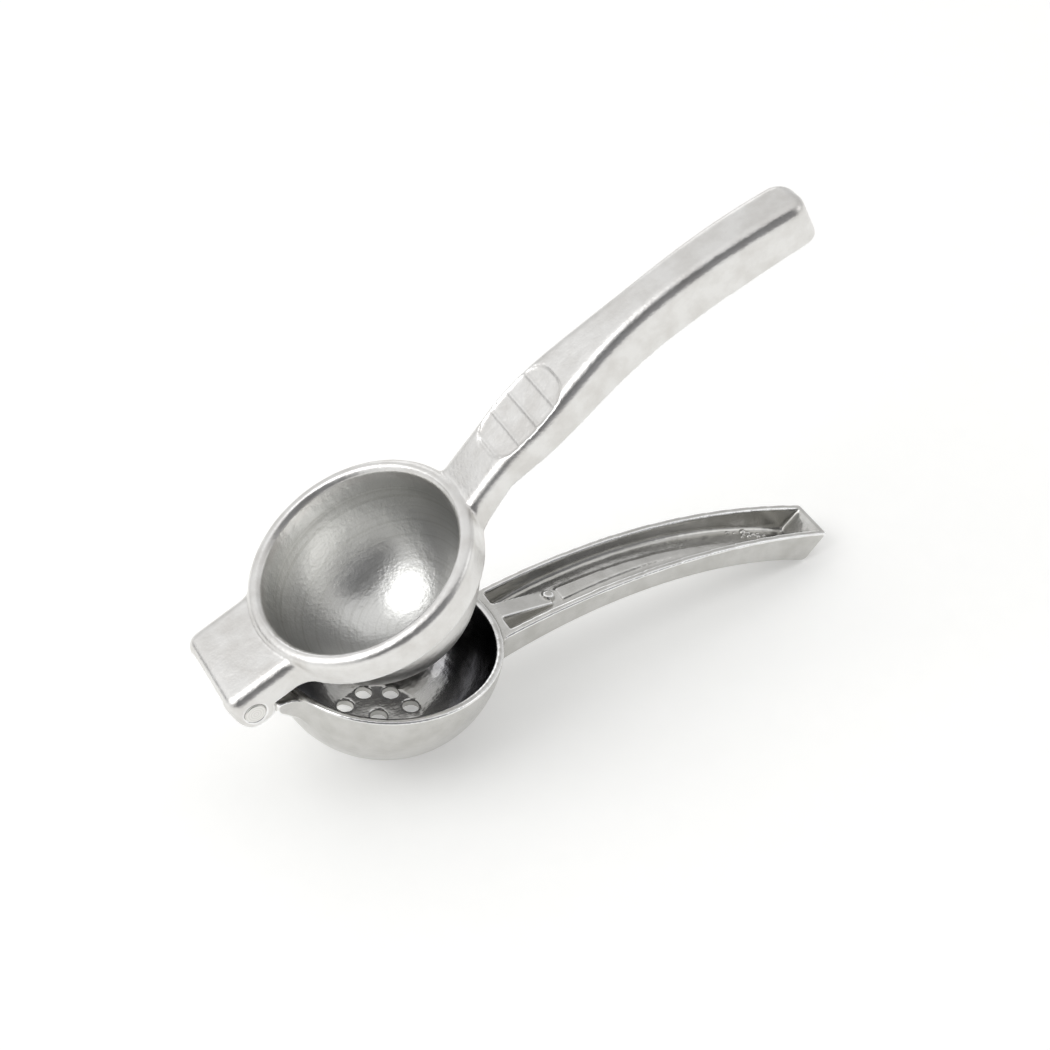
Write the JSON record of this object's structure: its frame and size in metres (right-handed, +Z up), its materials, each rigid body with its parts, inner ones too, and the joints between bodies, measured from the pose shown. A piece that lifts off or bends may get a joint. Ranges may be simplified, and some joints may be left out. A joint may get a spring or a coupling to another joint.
{
  "type": "hinged lemon squeezer",
  "caption": "Hand press for half lemons: a bowl-shaped plunger on a hinged handle closes into a pierced strainer cup with a channel handle.",
  "frame": {"origin": "middle of the footprint, on the table plane under the squeezer as it rests on its cup's foot and its handle tip", "axes": "+X from the hinge towards the handle tips, +Y across the handles along the hinge pin, +Z up"},
  "size_m": [0.1934, 0.0664, 0.1323],
  "materials": {
    "cast_aluminium": "tumbled satin die casting",
    "pin_steel": "turned, satin"
  },
  "bodies": {
    "cup_arm": {"strainer_cup_arm": "cast_aluminium"},
    "press_arm": {"press_bowl_arm": "cast_aluminium", "hinge_pin": "pin_steel"}
  },
  "joints": [
    {"name": "press_hinge", "type": "hinge", "parent": "cup_arm", "child": "press_arm", "pos_m": [-0.08989, 0, 0.04308], "axis": [0, -1, 0], "range_deg": [-30.9, 135]}
  ]
}
